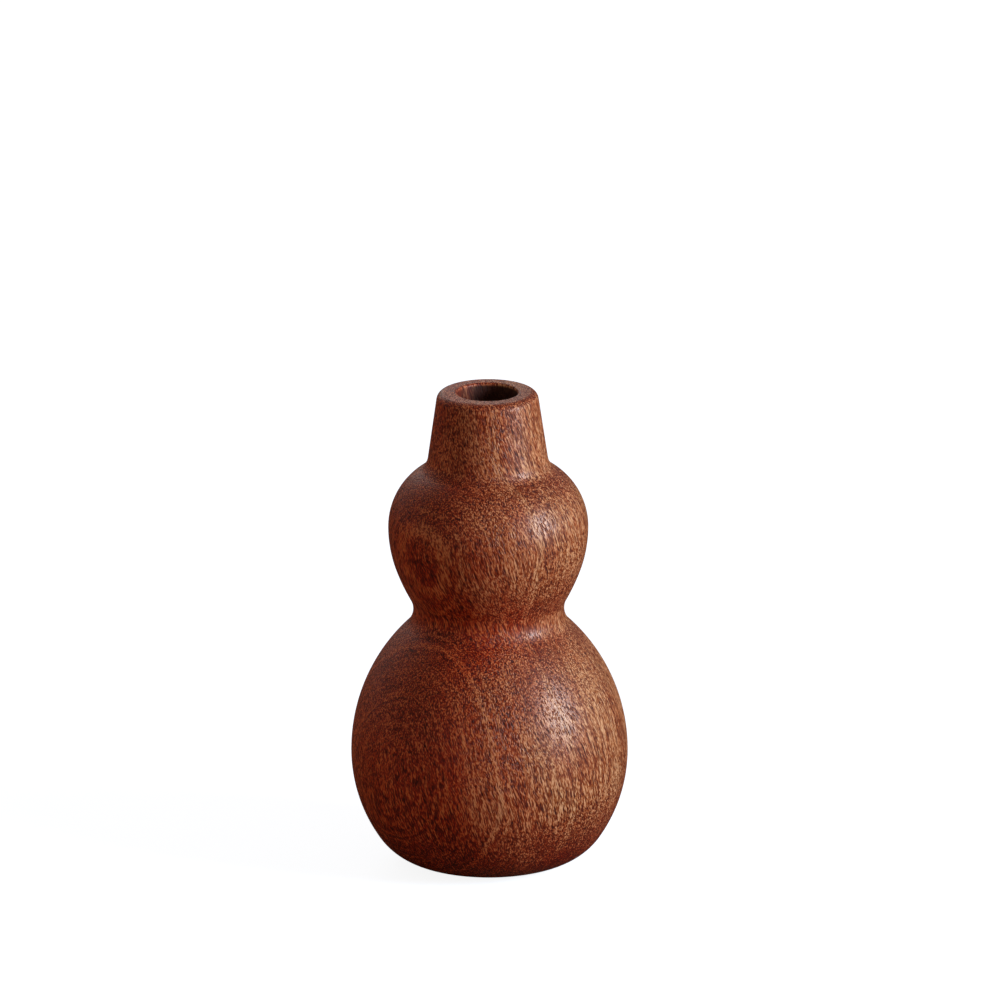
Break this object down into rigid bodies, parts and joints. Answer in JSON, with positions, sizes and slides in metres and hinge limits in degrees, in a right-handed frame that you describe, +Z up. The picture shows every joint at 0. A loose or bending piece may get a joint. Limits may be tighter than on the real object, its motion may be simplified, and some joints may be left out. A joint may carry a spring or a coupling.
{
  "type": "gourd vase",
  "caption": "Gourd-shaped turned wooden vase: a smaller hollow bulb on a larger one, with a short tapered neck, a round bored mouth and a felt pad under the foot.",
  "frame": {"origin": "centre of the resting face, on the turning axis", "axes": "+Z up the turning axis to the mouth; -Y faces the viewer of the picture, +X to the viewer's right"},
  "size_m": [0.1134, 0.1134, 0.2],
  "materials": {
    "wood_upper": "satin",
    "wood_lower": "satin",
    "felt": "matte"
  },
  "bodies": {
    "root": {"upper_body": "wood_upper", "lower_body": "wood_lower", "felt_pad": "felt"}
  },
  "joints": []
}
